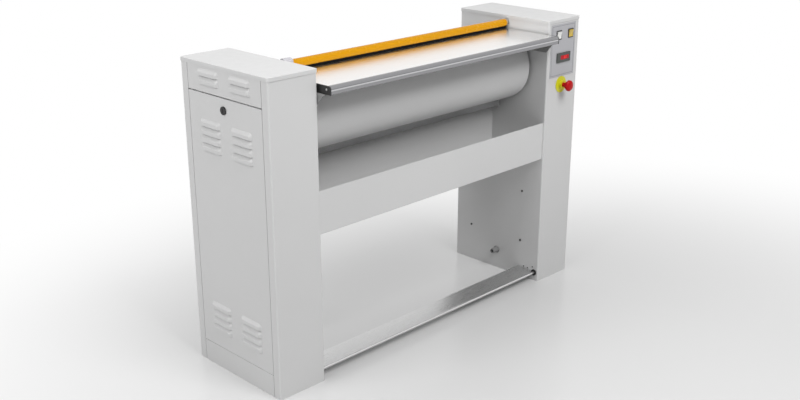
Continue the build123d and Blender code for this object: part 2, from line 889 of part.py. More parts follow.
# ================================================================ finger guard
guard_half = inner_x - guard_arm_gap - guard_arm
with BuildPart() as guard_bar:
    with BuildSketch(across(guard_end_length - guard_half)):
        with Locations((guard_y, guard_z)):
            Circle(guard_r)
            Circle(guard_r - guard_wall, mode=Mode.SUBTRACT)
    extrude(amount=2 * guard_half - guard_end_length)
finish(guard_bar, "guard_bar")

with BuildPart() as guard_end:
    # End piece on the left, with a raised lug and a spigot inside the bar
    spigot_r = guard_r - guard_wall - running
    for r, length in ((guard_r, guard_end_length), (spigot_r, guard_end_length + 2 * guard_r)):
        with BuildSketch(across(-guard_half)):
            with Locations((guard_y, guard_z)):
                Circle(r)
        extrude(amount=length)
    with BuildSketch(across(guard_end_length - guard_lug - guard_half)):
        with Locations((guard_y, guard_z + guard_lug_rise / 2)):
            SlotCenterToCenter(guard_lug_rise, 2 * guard_r, rotation=90)
    extrude(amount=guard_lug)
finish(guard_end, "guard_end")

with BuildPart() as guard_arms:
    with BuildSketch(across(guard_half)):
        with Locations((guard_y, guard_z)):
            Circle(guard_arm_r)
        with Locations((guard_pivot_y, guard_pivot_z)):
            Circle(guard_pivot_eye)
        make_hull()
        with Locations((guard_pivot_y, guard_pivot_z)):
            Circle(guard_pivot_r + running, mode=Mode.SUBTRACT)
    extrude(amount=guard_arm)
    mirror(about=Plane.YZ)
finish(guard_arms, "guard_arms")

with BuildPart() as guard_pins:
    with BuildSketch(across(guard_half)):
        with Locations((guard_pivot_y, guard_pivot_z)):
            Circle(guard_pivot_r)
    extrude(amount=wall_in - guard_half)
    for start, length in ((guard_half + guard_arm + seat, guard_arm_gap - seat), (wall_in, guard_arm_gap)):
        with BuildSketch(across(start)):
            with Locations((guard_pivot_y, guard_pivot_z)):
                RegularPolygon(guard_pivot_eye, 6)
        extrude(amount=length)
    mirror(about=Plane.YZ)
finish(guard_pins, "guard_pins")

# ================================================================ feed table
table_half = inner_x - table_end_gap - end_cap
nose_y = front - table_overhang
nose_low = table_top - nose_height


def nose_outline():
    """Outside of the nose moulding, its upper front corner rounded."""
    with Locations((nose_y + nose_depth / 2, nose_low + nose_height / 2)):
        Rectangle(nose_depth, nose_height)


with BuildPart() as table_nose:
    with BuildSketch(across(-table_half)) as nose_sketch:
        nose_outline()
        fillet(nose_sketch.vertices().sort_by_distance((nose_y, table_top, 0))[0], radius=nose_round)
        fillet(nose_sketch.vertices().sort_by_distance((nose_y, nose_low, 0))[0], radius=bend)
        with Locations((nose_y + nose_depth / 2, nose_low + nose_height / 2 - table_sheet / 2)):
            Rectangle(nose_depth - 2 * nose_wall - nose_rebate, nose_height - 2 * nose_wall - table_sheet,
                      mode=Mode.SUBTRACT)
        with Locations((nose_y, table_top - nose_groove_drop)):
            Rectangle(2 * nose_groove, nose_groove, mode=Mode.SUBTRACT)
        with Locations((nose_y + nose_rebate + nose_depth / 2, table_top - table_sheet / 2)):
            Rectangle(nose_depth, table_sheet, mode=Mode.SUBTRACT)
    extrude(amount=2 * table_half)
finish(table_nose, "table_nose")

with BuildPart() as nose_end_caps:
    with BuildSketch(across(table_half)) as cap_sketch:
        nose_outline()
        fillet(cap_sketch.vertices().sort_by_distance((nose_y, table_top, 0))[0], radius=nose_round)
    extrude(amount=end_cap)
    mirror(about=Plane.YZ)
finish(nose_end_caps, "nose_end_caps")

with BuildPart() as end_cap_screws:
    with BuildSketch(across(table_half + end_cap)):
        with Locations((nose_y + cap_screw_inset, nose_low + cap_screw_rise)):
            Circle(cap_screw_r)
    extrude(amount=cap_screw_head)
    mirror(about=Plane.YZ)
finish(end_cap_screws, "end_cap_screws")

with BuildPart() as feed_table:
    table_front = nose_y + nose_rebate
    with BuildSketch(across(-table_half)):
        with Locations(((table_front + table_back) / 2, table_top - table_sheet / 2)):
            Rectangle(table_back - table_front, table_sheet)
    extrude(amount=2 * table_half)
finish(feed_table, "feed_table")

with BuildPart() as table_brackets:
    sheet_under = table_top - table_sheet
    with BuildSketch(across(inner_x - bracket_plate)):
        Polygon((bracket_toe, nose_low), (nose_y + nose_depth + seat, nose_low),
                (nose_y + nose_depth + seat, sheet_under),
                (bracket_back, sheet_under), (bracket_back, bracket_low + nose_height),
                (bracket_back - nose_height, bracket_low), (bracket_heel, bracket_low), align=None)
    extrude(amount=bracket_plate)
    with BuildSketch(facing(bracket_back)):
        with Locations((inner_x - bracket_flange / 2, sheet_under - bracket_plate / 2)):
            Rectangle(bracket_flange, bracket_plate)
    extrude(amount=bracket_back - (nose_y + nose_depth + seat))
    with BuildSketch(facing(nose_y + nose_depth)):
        with Locations((inner_x - bracket_flange / 2, nose_low - bracket_plate / 2)):
            Rectangle(bracket_flange, bracket_plate)
    extrude(amount=nose_y + nose_depth - bracket_toe)
    mirror(about=Plane.YZ)
finish(table_brackets, "table_brackets")

# ================================================================ tray and rear cover
with BuildPart() as tray:
    with BuildSketch(across(-inner_x)):
        with BuildLine():
            tray_line = FilletPolyline((tray_front, tray_top),
                                       (tray_front, tray_bottom), (tray_back, tray_bottom),
                                       (tray_back, tray_back_top), (tray_back + tray_hem, tray_back_top),
                                       radius=bend)
            offset(tray_line, amount=sheet, side=Side.LEFT)
        make_face()
    extrude(amount=2 * inner_x)
finish(tray, "tray")

with BuildPart() as rear_cover:
    with BuildSketch(across(-inner_x)):
        with BuildLine():
            cover_line = FilletPolyline((tray_back + seat, cover_bottom), (cover_back, cover_bottom),
                                        (cover_back, cover_top), (cover_back - cover_fold, cover_top),
                                        radius=bend)
            offset(cover_line, amount=sheet, side=Side.LEFT)
        make_face()
    extrude(amount=2 * inner_x)
finish(rear_cover, "rear_cover")

# ================================================================ foot bar
foot_end = foot_arm_x + foot_arm
with BuildPart() as foot_bar:
    with BuildSketch(across(-foot_end)):
        with Locations((foot_y, foot_z)):
            Circle(foot_r)
    extrude(amount=2 * foot_end)
    # Tread plate behind the bar, in line with the arms
    slope = atan2(foot_pivot_z - foot_z, foot_arm_reach)
    tread_half = inner_x - 2 * seat - foot_ring
    with BuildSketch(Plane(origin=(-tread_half, foot_y, foot_z), x_dir=(0, cos(slope), sin(slope)),
                           z_dir=(1, 0, 0))):
        Rectangle(foot_plate, foot_plate_sheet, align=(Align.MIN, Align.CENTER))
    extrude(amount=2 * tread_half)
finish(foot_bar, "foot_bar")

with BuildPart() as foot_bar_rings:
    with BuildSketch(across(inner_x - seat)):
        with Locations((foot_y, foot_z)):
            Circle(foot_ring_r)
            Circle(foot_r, mode=Mode.SUBTRACT)
    extrude(amount=-foot_ring)
    mirror(about=Plane.YZ)
finish(foot_bar_rings, "foot_bar_rings")

foot_pivot_y = foot_y + foot_arm_reach
with BuildPart() as foot_arms:
    with BuildSketch(across(foot_arm_x)):
        with Locations((foot_y, foot_z), (foot_pivot_y, foot_pivot_z)):
            Circle(foot_eye_r)
        make_hull()
        with Locations((foot_y, foot_z)):
            Circle(foot_r, mode=Mode.SUBTRACT)
        with Locations((foot_pivot_y, foot_pivot_z)):
            Circle(foot_pivot_r + running, mode=Mode.SUBTRACT)
    extrude(amount=foot_arm)
    mirror(about=Plane.YZ)
finish(foot_arms, "foot_arms")

with BuildPart() as foot_pivots:
    with BuildSketch(across(wall_in)):
        with Locations((foot_pivot_y, foot_pivot_z)):
            Circle(foot_pivot_r)
    extrude(amount=foot_end - wall_in)
    with BuildSketch(across(wall_in)):
        with Locations((foot_pivot_y, foot_pivot_z)):
            RegularPolygon(foot_eye_r, 6)
    extrude(amount=foot_arm_x - wall_in - seat)
    mirror(about=Plane.YZ)
finish(foot_pivots, "foot_pivots")

with BuildPart() as foot_switch:
    # The arm holds the plunger in at rest and lets it out when the bar goes down
    switch_y = foot_y + foot_arm_reach / 2
    arm_slope = (foot_pivot_z - foot_z) / foot_arm_reach
    arm_top = (foot_z + foot_pivot_z) / 2 + arm_slope * switch_plunger_r + foot_eye_r * hypot(1, arm_slope)
    with BuildSketch(Plane.XY.offset(arm_top + seat)):
        with Locations((foot_arm_x + foot_arm / 2, switch_y)):
            Circle(switch_plunger_r)
    extrude(amount=foot_travel + seat)
    with BuildSketch(Plane.XY.offset(arm_top + seat + foot_travel)):
        with Locations((wall_in + switch_box[0] / 2, switch_y)):
            Rectangle(switch_box[0], switch_box[1])
    extrude(amount=switch_box[2])
finish(foot_switch, "foot_switch")

# ================================================================ control panel
plate_front = body_front - plate_thickness
with BuildPart() as control_plate:
    with BuildSketch(facing(body_front)):
        with Locations((plate_x, plate_z)):
            Rectangle(plate_right - plate_left, plate_top - plate_bottom)
        with Locations((meter_x, meter_z)):
            Rectangle(meter_body[0] + seat, meter_body[1] + seat, mode=Mode.SUBTRACT)
        with Locations((yellow_x, switch_z), (white_x, switch_z)):
            Rectangle(switch_body[0] + seat, switch_body[1] + seat, mode=Mode.SUBTRACT)
    extrude(amount=plate_thickness)
finish(control_plate, "control_plate")

meter_front = plate_front - meter_bezel
with BuildPart() as thermostat:
    with BuildSketch(facing(plate_front)):
        with Locations((meter_x, meter_z)):
            RectangleRounded(meter_width, meter_height, sheet)
    extrude(amount=meter_bezel)
    with BuildSketch(facing(plate_front)):
        with Locations((meter_x, meter_z)):
            Rectangle(meter_body[0], meter_body[1])
    extrude(amount=-meter_body[2])
    with BuildSketch(facing(meter_front)):
        with Locations((window_x, meter_z)):
            Rectangle(window_width, window_height)
    extrude(amount=-meter_recess, mode=Mode.SUBTRACT)
finish(thermostat, "thermostat")

with BuildPart() as thermostat_display:
    with BuildSketch(facing(meter_front + meter_recess)):
        with Locations((window_x, meter_z)):
            Rectangle(window_width, window_height)
    extrude(amount=meter_recess - seat)
finish(thermostat_display, "thermostat_display")

# Each rocker turns about an X axis in the plane of the plate
key_width = switch_width - 2 * switch_rim - 2 * key_gap
key_height = switch_height - 2 * switch_rim - 4 * key_gap
pocket = key_depth + key_height / 2 * sin(radians(key_tilt)) + key_gap
with BuildPart() as rocker_frames:
    with BuildSketch(facing(plate_front)):
        with Locations((yellow_x, switch_z), (white_x, switch_z)):
            RectangleRounded(switch_width, switch_height, sheet)
    extrude(amount=switch_bezel)
    with BuildSketch(facing(plate_front)):
        with Locations((yellow_x, switch_z), (white_x, switch_z)):
            Rectangle(switch_body[0], switch_body[1])
    extrude(amount=-switch_body[2])
    with BuildSketch(facing(plate_front - switch_bezel)):
        with Locations((yellow_x, switch_z), (white_x, switch_z)):
            Rectangle(key_width + 2 * key_gap, key_height + 4 * key_gap)
    extrude(amount=-switch_bezel - pocket, mode=Mode.SUBTRACT)
    for centre in (yellow_x, white_x):
        with BuildSketch(across(centre)):
            with Locations((plate_front, switch_z)):
                Circle(key_pin_r + running)
        extrude(amount=key_width / 2 + key_gap + key_pin, both=True, mode=Mode.SUBTRACT)
finish(rocker_frames, "rocker_frames")


def rocker(centre):
    """A rocker key, hollow-faced, resting with its lower end pressed in."""
    tilt = radians(key_tilt)
    plane = Plane(origin=(centre, plate_front, switch_z), x_dir=(0, cos(tilt), sin(tilt)), z_dir=(1, 0, 0))
    with BuildPart() as key:
        with BuildSketch(plane):
            half = key_height / 2
            with BuildLine():
                ends = Polyline((-key_rise, half), (key_depth, half), (key_depth, -half), (-key_rise, -half))
                ThreePointArc(ends @ 0, (-key_rise + sheet, 0), ends @ 1)
            make_face()
        extrude(amount=key_width / 2, both=True)
        with BuildSketch(plane):
            Circle(key_pin_r)
        extrude(amount=key_width / 2 + key_gap + key_pin / 2, both=True)
    return key.part


with BuildPart() as yellow_rocker:
    add(rocker(yellow_x))
finish(yellow_rocker, "yellow_rocker")

with BuildPart() as white_rocker:
    add(rocker(white_x))
finish(white_rocker, "white_rocker")

# ================================================================ emergency stop
disc_front = body_front - stop_disc
with BuildPart() as stop_disc_plate:
    with BuildSketch(facing(body_front)):
        with Locations((stop_x, stop_z)):
            Circle(stop_disc_r)
            Circle(stop_barrel_r, mode=Mode.SUBTRACT)
    extrude(amount=stop_disc)
finish(stop_disc_plate, "stop_disc")

with BuildPart() as stop_body:
    with BuildSketch(facing(disc_front)):
        with Locations((stop_x, stop_z)):
            Circle(stop_collar_r)
    extrude(amount=stop_collar)
    with BuildSketch(facing(disc_front)):
        with Locations((stop_x, stop_z)):
            Circle(stop_barrel_r)
    extrude(amount=-stop_barrel)
    with BuildSketch(facing(disc_front + stop_barrel)):
        with Locations((stop_x, stop_z)):
            Rectangle(stop_block[0], stop_block[1])
    extrude(amount=-stop_block[2])
    with BuildSketch(facing(disc_front - stop_collar)):
        with Locations((stop_x, stop_z)):
            Circle(stop_stem_r + running)
    extrude(amount=-stop_collar - stop_barrel / 2, mode=Mode.SUBTRACT)
finish(stop_body, "stop_body")

head_front = front - stop_reach
head_back = head_front + stop_head
stem_back = disc_front + stop_barrel / 2 - stop_travel - seat
with BuildPart() as stop_stem:
    with BuildSketch(facing(stem_back)):
        with Locations((stop_x, stop_z)):
            Circle(stop_stem_r)
    extrude(amount=stem_back - head_back + stop_head / 2)
finish(stop_stem, "stop_stem")

with BuildPart() as stop_head_body:
    with BuildSketch(Plane.XY.offset(stop_z)):
        with BuildLine():
            crown = [(stop_x + stop_head_r * sin(radians(a)), head_front + stop_crown * (1 - cos(radians(a))))
                     for a in (0, 30, 60, 90)]
            Polyline(*crown, (stop_x + stop_head_r, head_front + stop_crown + stop_rim),
                     (stop_x + stop_neck_r, head_back - stop_neck), (stop_x + stop_neck_r, head_back),
                     (stop_x, head_back), close=True)
        make_face()
    revolve(axis=Axis((stop_x, 0, stop_z), (0, 1, 0)))
    with BuildSketch(facing(head_back)):
        with Locations((stop_x, stop_z)):
            Circle(stop_stem_r + running)
    extrude(amount=stop_head / 2 + seat, mode=Mode.SUBTRACT)
finish(stop_head_body, "stop_head")

# ================================================================ electrics and fixings
with BuildPart() as cable_gland:
    with BuildSketch(across(inner_x)):
        with Locations((gland_y, gland_z)):
            RegularPolygon(gland_r, 6)
    extrude(amount=-gland_flange)
    with BuildSketch(across(inner_x - gland_flange)):
        with Locations((gland_y, gland_z)):
            RegularPolygon(gland_dome_r, gland_sides)
    extrude(amount=-gland_dome, taper=degrees((gland_dome_r - gland_tip_r) / gland_dome))
    with BuildSketch(across(inner_x)):
        with Locations((gland_y, gland_z)):
            Circle(gland_hole_r)
    extrude(amount=sheet)
    with BuildSketch(across(wall_in)):
        with Locations((gland_y, gland_z)):
            RegularPolygon(gland_r, 6)
    extrude(amount=gland_lock)
    with BuildSketch(across(inner_x)):
        with Locations((gland_y, gland_z)):
            RegularPolygon(gland_bore_r, gland_sides)
    extrude(amount=gland_flange + gland_dome, both=True, mode=Mode.SUBTRACT)
finish(cable_gland, "cable_gland")

plate_low, plate_high = panel_fix_z[0] - panel_margin, panel_fix_z[1] + panel_margin
plate_near, plate_far = panel_fix_y[0] - panel_margin, panel_fix_y[1] + panel_margin
with BuildPart() as electrics_plate:
    with BuildSketch(across(wall_in)):
        with Locations(((plate_near + plate_far) / 2, (plate_low + plate_high) / 2)):
            Rectangle(plate_far - plate_near, plate_high - plate_low)
    extrude(amount=panel_plate)
finish(electrics_plate, "electrics_plate")

with BuildPart() as contactors:
    with BuildSketch(across(wall_in + panel_plate)):
        with Locations(((plate_near + plate_far) / 2, (plate_low + plate_high) / 2)):
            with GridLocations(contactor_pitch, 1, contactor_count, 1):
                Rectangle(contactor[0], contactor[1])
    extrude(amount=contactor[2])
    chamfer(contactors.faces().sort_by(Axis.X)[-contactor_count:].edges(), length=sheet)
finish(contactors, "contactors")

with BuildPart() as wall_screws:
    with BuildSketch(across(inner_x)):
        with Locations(*[(y, z) for y in panel_fix_y for z in panel_fix_z]):
            RegularPolygon(fix_head_r, 6)
        with Locations(*[(front + y, z) for y, z in small_fixings]):
            RegularPolygon(fix_head_r / 2, 6)
    extrude(amount=-fix_head)
    with BuildSketch(across(-inner_x)):
        with Locations(*[(front + y, z) for y, z in small_fixings]):
            RegularPolygon(fix_head_r / 2, 6)
    extrude(amount=fix_head)
    with BuildSketch(across(-wall_in - shelf)):
        with Locations((roll_y, shelf_top - shelf - shelf_flange / 2)):
            with GridLocations(shelf_length / 2, shelf_flange / 2, 2, 2):
                RegularPolygon(fix_head_r, 6)
    extrude(amount=-fix_head)
finish(wall_screws, "wall_screws")
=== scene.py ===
"""Looks of a single-roll flatwork ironer: finishes, the padded roll, fine trim and the studio."""

from math import atan2, cos, pi, radians, sin

import bmesh
import bpy
from bpy.props import FloatProperty, FloatVectorProperty, IntProperty, PointerProperty
from bpy.types import Operator, Panel, PropertyGroup
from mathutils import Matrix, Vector


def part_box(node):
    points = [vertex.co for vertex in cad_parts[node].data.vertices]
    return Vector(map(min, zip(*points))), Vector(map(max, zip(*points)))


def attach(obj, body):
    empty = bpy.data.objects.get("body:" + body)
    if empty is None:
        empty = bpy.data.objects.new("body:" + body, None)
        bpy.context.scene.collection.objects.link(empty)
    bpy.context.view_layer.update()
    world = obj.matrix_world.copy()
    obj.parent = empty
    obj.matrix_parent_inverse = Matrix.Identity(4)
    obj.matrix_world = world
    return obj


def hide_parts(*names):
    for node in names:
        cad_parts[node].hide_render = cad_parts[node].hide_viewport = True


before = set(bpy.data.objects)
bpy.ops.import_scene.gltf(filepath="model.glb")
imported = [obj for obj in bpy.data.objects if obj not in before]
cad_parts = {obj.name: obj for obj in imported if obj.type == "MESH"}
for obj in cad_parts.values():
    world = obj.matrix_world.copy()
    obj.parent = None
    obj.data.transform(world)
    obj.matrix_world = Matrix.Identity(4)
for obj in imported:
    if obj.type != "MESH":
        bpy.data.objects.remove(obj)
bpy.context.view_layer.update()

bl_info = {
    "name": "Flatwork Ironer",
    "version": (1, 0, 0),
    "blender": (4, 5, 0),
    "location": "3D View > Sidebar > Ironer",
    "description": "Builds the finishes, padded roll, trim and studio of a flatwork ironer",
    "category": "Object",
}


# ---------------------------------------------------------------- settings
def colour_property(name, default, description):
    """A colour that a user would change."""
    return FloatVectorProperty(name=name, description=description, subtype="COLOR", size=3,
                               min=0.0, max=1.0, default=default)


def length_property(name, default, description):
    """A length in metres that a user would change."""
    return FloatProperty(name=name, description=description, subtype="DISTANCE", unit="LENGTH",
                         min=0.0, default=default)


class IronerColours(PropertyGroup):
    cabinet: colour_property("Cabinets", (0.60, 0.60, 0.60), "Powder coat of the cabinets")
    tray: colour_property("Tray", (0.60, 0.60, 0.60), "Powder coat of the linen tray")
    guard: colour_property("Finger Guard", (0.56, 0.255, 0.0), "Paint of the finger guard bar")
    cloth: colour_property("Roll Cloth", (0.70, 0.70, 0.70), "Cloth of the padded roll")
    table: colour_property("Feed Table", (0.93, 0.93, 0.93), "Satin steel of the feed table")
    panel: colour_property("Control Plate", (0.42, 0.42, 0.44), "Paint of the control plate")
    yellow_key: colour_property("Yellow Key", (0.58, 0.40, 0.03), "Yellow rocker key")
    white_key: colour_property("White Key", (0.80, 0.80, 0.78), "White rocker key")
    stop_head: colour_property("Stop Head", (0.45, 0.001, 0.003), "Emergency stop's mushroom head")
    stop_disc: colour_property("Stop Disc", (0.62, 0.60, 0.01), "Disc and collar of the stop")


class IronerSizes(PropertyGroup):
    roll_hem: length_property("Roll Hem", 0.016, "How far the cloth is drawn in over a roll end")
    roll_wave: length_property("Roll Unevenness", 0.0007, "Depth of the waves in the roll's felt")
    roll_round: length_property("Roll Edge", 0.010, "Radius of the padded edge of the roll")
    weave_pitch: length_property("Weave Pitch", 0.0016, "Thread spacing of the roll's cloth")
    peel_pitch: length_property("Paint Peel", 0.0022, "Grain of the powder coat")
    lens: FloatProperty(name="Lens", description="Focal length on a 36 mm sensor", default=47.264,
                        min=10.0)
    camera_height: length_property("Camera Height", 1.6457, "Height of the camera over the floor")
    pleats: IntProperty(name="Hem Pleats", description="Pleats in the drawn-in hem of the roll",
                        default=36, min=6)


# ---------------------------------------------------------------- node materials
NOISE_LOW, NOISE_HIGH = 0.3, 0.7  # where most of a noise's values lie
WAVE_TEXTURE_RATE = 10  # how Blender's wave texture counts: scale is pi over 10 pitches
GRIND = (1, 40, 40)  # stretch of grinding lines that run along X


class Finish:
    """A material under construction: a Principled shader with helpers for its patterns."""

    def __init__(self, name, colour, metallic=0.0, roughness=0.4, specular=0.5):
        self.material = bpy.data.materials.new(name)
        self.material.use_nodes = True
        self.tree = self.material.node_tree
        self.shader = self.tree.nodes["Principled BSDF"]
        self.shader.inputs["Base Color"].default_value = (*colour, 1.0)
        self.shader.inputs["Metallic"].default_value = metallic
        self.shader.inputs["Roughness"].default_value = roughness
        self.shader.inputs["Specular IOR Level"].default_value = specular
        self.colour = colour
        self.coordinates = self.add("ShaderNodeTexCoord")
        self.height = None

    def add(self, kind, **settings):
        node = self.tree.nodes.new(kind)
        for key, value in settings.items():
            setattr(node, key, value)
        return node

    def link(self, source, target):
        self.tree.links.new(source, target)

    def noise(self, scale, stretch=(1, 1, 1), detail=2.0, offset=(0, 0, 0)):
        """Noise over the piece, scale in cycles a metre; stretch multiplies it along each axis."""
        place = self.add("ShaderNodeMapping")
        place.inputs["Scale"].default_value = stretch
        place.inputs["Location"].default_value = offset
        self.link(self.coordinates.outputs["Object"], place.inputs["Vector"])
        noise = self.add("ShaderNodeTexNoise")
        noise.inputs["Scale"].default_value = scale
        noise.inputs["Detail"].default_value = detail
        self.link(place.outputs["Vector"], noise.inputs["Vector"])
        return noise.outputs["Fac"]

    def bands(self, pitch, direction, distortion):
        """Sine bands over the piece's UVs, with the given pitch in metres."""
        wave = self.add("ShaderNodeTexWave", wave_type="BANDS", bands_direction=direction)
        wave.inputs["Scale"].default_value = pi / (WAVE_TEXTURE_RATE * pitch)
        wave.inputs["Distortion"].default_value = distortion
        self.link(self.coordinates.outputs["UV"], wave.inputs["Vector"])
        return wave.outputs["Fac"]

    def spread(self, value, low, high):
        """Maps the middle of a noise to a range."""
        ramp = self.add("ShaderNodeMapRange")
        ramp.inputs["From Min"].default_value = NOISE_LOW
        ramp.inputs["From Max"].default_value = NOISE_HIGH
        ramp.inputs["To Min"].default_value = low
        ramp.inputs["To Max"].default_value = high
        self.link(value, ramp.inputs["Value"])
        return ramp.outputs["Result"]

    def tint(self, value, other):
        """Mixes the colour with another one by a pattern."""
        mix = self.add("ShaderNodeMix", data_type="RGBA")
        mix.inputs["A"].default_value = (*self.colour, 1.0)
        mix.inputs["B"].default_value = (*other, 1.0)
        self.link(self.spread(value, 0.0, 1.0), mix.inputs["Factor"])
        self.link(mix.outputs["Result"], self.shader.inputs["Base Color"])
        return self

    def shade(self, value, amount):
        """Varies the colour's brightness by a pattern."""
        return self.tint(value, tuple(c * (1 - amount) for c in self.colour))

    def rough(self, value, low, high):
        """Varies the roughness by a pattern."""
        self.link(self.spread(value, low, high), self.shader.inputs["Roughness"])
        return self

    def bump(self, value, depth, strength):
        """Adds relief on top of what is there already; depth in metres."""
        node = self.add("ShaderNodeBump")
        node.inputs["Strength"].default_value = strength
        node.inputs["Distance"].default_value = depth
        self.link(value, node.inputs["Height"])
        if self.height:
            self.link(self.height, node.inputs["Normal"])
        self.height = node.outputs["Normal"]
        self.link(self.height, self.shader.inputs["Normal"])
        return self

    def combine(self, first, second, operation="MULTIPLY"):
        """Joins two patterns into one."""
        node = self.add("ShaderNodeMath", operation=operation)
        self.link(first, node.inputs[0])
        self.link(second, node.inputs[1])
        return node.outputs["Value"]


def powder_coat(name, colour, roughness=0.42):
    """Baked powder coat: fine orange peel, slight cloudiness."""
    f = Finish(name, colour, roughness=roughness, specular=0.4)
    peel = bpy.context.scene.ironer_sizes.peel_pitch
    f.shade(f.noise(2.3, detail=3.0), 0.035)
    f.rough(f.noise(35.0), roughness - 0.05, roughness + 0.06)
    return f.bump(f.noise(1 / peel, detail=1.0), 0.00006, 0.5).material


def gloss_paint(name, colour, roughness=0.25):
    """Wet paint on round bar, with faint runs along it."""
    f = Finish(name, colour, roughness=roughness, specular=0.15)
    f.shade(f.noise(9.0, (0.3, 1, 1)), 0.03)
    f.rough(f.noise(60.0), roughness - 0.03, roughness + 0.04)
    return f.bump(f.noise(500.0, (0.4, 1, 1)), 0.00002, 0.4).material


def brushed(name, colour, roughness=0.32, contrast=0.10, depth=0.00003):
    """Metal with grinding lines along X."""
    f = Finish(name, colour, metallic=1.0, roughness=roughness)
    lines = f.noise(24.0, GRIND, detail=4.0)
    f.shade(lines, contrast)
    half = contrast / 2
    f.rough(f.noise(17.0, GRIND, offset=(3, 1, 2)), roughness - half, roughness + half)
    return f.bump(lines, depth, 0.6).material


def aluminium_with_painted_highlight(name, colour, bright, level, half):
    """Drawn aluminium with a painted highlight: lighter along one rib at a height over the floor.
    """
    f = Finish(name, colour, metallic=1.0, roughness=0.24)
    place = f.add("ShaderNodeSeparateXYZ")
    f.link(f.coordinates.outputs["Object"], place.inputs["Vector"])
    above = f.add("ShaderNodeMath", operation="SUBTRACT")
    f.link(place.outputs["Z"], above.inputs[0])
    above.inputs[1].default_value = level
    away = f.add("ShaderNodeMath", operation="ABSOLUTE")
    f.link(above.outputs["Value"], away.inputs[0])
    rib = f.add("ShaderNodeMapRange", interpolation_type="SMOOTHSTEP")
    rib.inputs["From Max"].default_value = half
    rib.inputs["To Min"].default_value = NOISE_HIGH
    rib.inputs["To Max"].default_value = NOISE_LOW
    f.link(away.outputs["Value"], rib.inputs["Value"])
    # Painted highlight: the colour turns lighter in a band along the rib
    f.tint(rib.outputs["Result"], bright)
    return f.bump(f.noise(24.0, GRIND, detail=4.0), 0.00001, 0.6).material


def turned(name, colour, roughness=0.28):
    """Machined steel with fine tool marks across its X axis and a film of oil."""
    f = Finish(name, colour, metallic=1.0, roughness=roughness)
    marks = f.noise(1500.0, (1, 0.02, 0.02), detail=1.0)
    f.shade(f.noise(45.0), 0.18)
    f.rough(f.noise(28.0, offset=(1, 5, 2)), roughness - 0.08, roughness + 0.12)
    return f.bump(marks, 0.00002, 0.5).material


def zinc(name, colour):
    """Galvanised sheet with soft spangle."""
    f = Finish(name, colour, metallic=1.0, roughness=0.4)
    cells = f.add("ShaderNodeTexVoronoi", feature="F1")
    cells.inputs["Scale"].default_value = 110.0
    f.link(f.coordinates.outputs["Object"], cells.inputs["Vector"])
    f.shade(cells.outputs["Distance"], 0.22)
    f.rough(f.noise(80.0), 0.32, 0.5)
    return f.bump(f.noise(300.0), 0.00003, 0.5).material


def cast(name, colour):
    """Rough casting under thick paint."""
    f = Finish(name, colour, metallic=0.2, roughness=0.55)
    f.shade(f.noise(30.0, detail=4.0), 0.2)
    return f.bump(f.noise(240.0, detail=4.0), 0.0005, 0.6).material


def moulded(name, colour, roughness=0.45, gloss=0.0, specular=0.5):
    """Moulded plastic with spark-eroded grain."""
    f = Finish(name, colour, roughness=roughness, specular=specular)
    f.shader.inputs["Coat Weight"].default_value = gloss
    f.shade(f.noise(14.0), 0.08)
    f.rough(f.noise(90.0), roughness - 0.06, roughness + 0.08)
    return f.bump(f.noise(1400.0, detail=1.0), 0.00004, 0.4).material


def woven(name, colour, pitch):
    """Plain weave cotton over felt: two sets of threads, loose fibres and soft wear."""
    f = Finish(name, colour, roughness=0.88, specular=0.2)
    f.shader.inputs["Sheen Weight"].default_value = 0.25
    f.shader.inputs["Sheen Roughness"].default_value = 0.5
    threads = f.combine(f.bands(pitch, "X", 0.6), f.bands(pitch, "Y", 0.6))
    f.shade(f.combine(threads, f.noise(6.0, (0.4, 1, 1), detail=5.0), "ADD"), 0.10)
    f.bump(f.noise(35.0, (0.5, 1, 1), detail=4.0), 0.0012, 0.35)
    return f.bump(threads, 0.0003, 0.7).material


def glowing(name, colour, strength):
    """A lit segment of a display behind a tinted window."""
    f = Finish(name, colour, roughness=0.5)
    f.shader.inputs["Emission Color"].default_value = (*colour, 1.0)
    f.shader.inputs["Emission Strength"].default_value = strength
    f.rough(f.noise(600.0), 0.4, 0.6)
    return f.material


def dress(material, *nodes):
    """Gives CAD pieces their finish."""
    for name in nodes:
        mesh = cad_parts[name].data
        mesh.materials.clear()
        mesh.materials.append(material)


# ---------------------------------------------------------------- mesh helpers
def piece(name, mesh, material, body, smooth_angle=None):
    """Makes an object of a bmesh and lets it ride on a body; smooth below an angle in degrees."""
    data = bpy.data.meshes.new(name)
    bmesh.ops.recalc_face_normals(mesh, faces=mesh.faces)
    mesh.to_mesh(data)
    mesh.free()
    if smooth_angle is not None:
        data.shade_smooth()
        data.set_sharp_from_angle(angle=radians(smooth_angle))
    data.materials.append(material)
    made = bpy.data.objects.new(name, data)
    bpy.context.scene.collection.objects.link(made)
    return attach(made, body)


def ring_surface(mesh, rings):
    """Bridges closed rings of points, each as long as the next, into quads."""
    rows = [[mesh.verts.new(p) for p in ring] for ring in rings]
    count = len(rows[0])
    for a, b in zip(rows, rows[1:]):
        for n in range(count):
            mesh.faces.new((a[n], a[(n + 1) % count], b[(n + 1) % count], b[n]))
    return rows


# Corners of a block's faces, counted with Z fastest and X slowest
BLOCK_FACES = ((0, 1, 3, 2), (4, 6, 7, 5), (0, 4, 5, 1),
               (2, 3, 7, 6), (0, 2, 6, 4), (1, 5, 7, 3))


def block(mesh, low, high):
    """Adds a box between two corners."""
    corners = [mesh.verts.new((x, y, z)) for x in (low[0], high[0]) for y in (low[1], high[1])
               for z in (low[2], high[2])]
    for face in BLOCK_FACES:
        mesh.faces.new([corners[n] for n in face])


